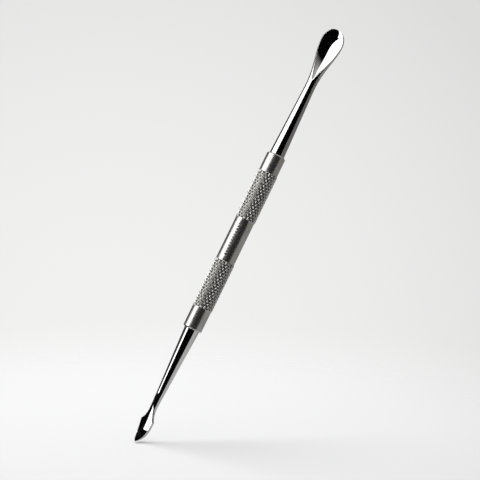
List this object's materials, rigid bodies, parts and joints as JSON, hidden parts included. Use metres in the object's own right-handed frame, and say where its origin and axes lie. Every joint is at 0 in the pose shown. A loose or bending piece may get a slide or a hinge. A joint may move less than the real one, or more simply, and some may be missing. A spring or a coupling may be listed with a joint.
{
  "type": "double-ended cuticle pusher",
  "caption": "Slim double-ended cuticle pusher: knurled round bar handle with a polished concave spoon pusher at one end and a scooped spear-shaped cleaner at the other.",
  "frame": {"origin": "on the tool's axis, at the middle of the handle's length, where the fingers hold it", "axes": "+Z along the tool from the spear towards the spoon, -Y the way the spoon's hollow face looks, +X to the right as seen from the hollow face"},
  "size_m": [0.0074, 0.0064, 0.14],
  "materials": {
    "satin_steel": "turned and satin",
    "polished_steel": "mirror polished"
  },
  "bodies": {
    "root": {"handle": "satin_steel", "pusher_end": "polished_steel", "spear_end": "polished_steel"}
  },
  "joints": []
}
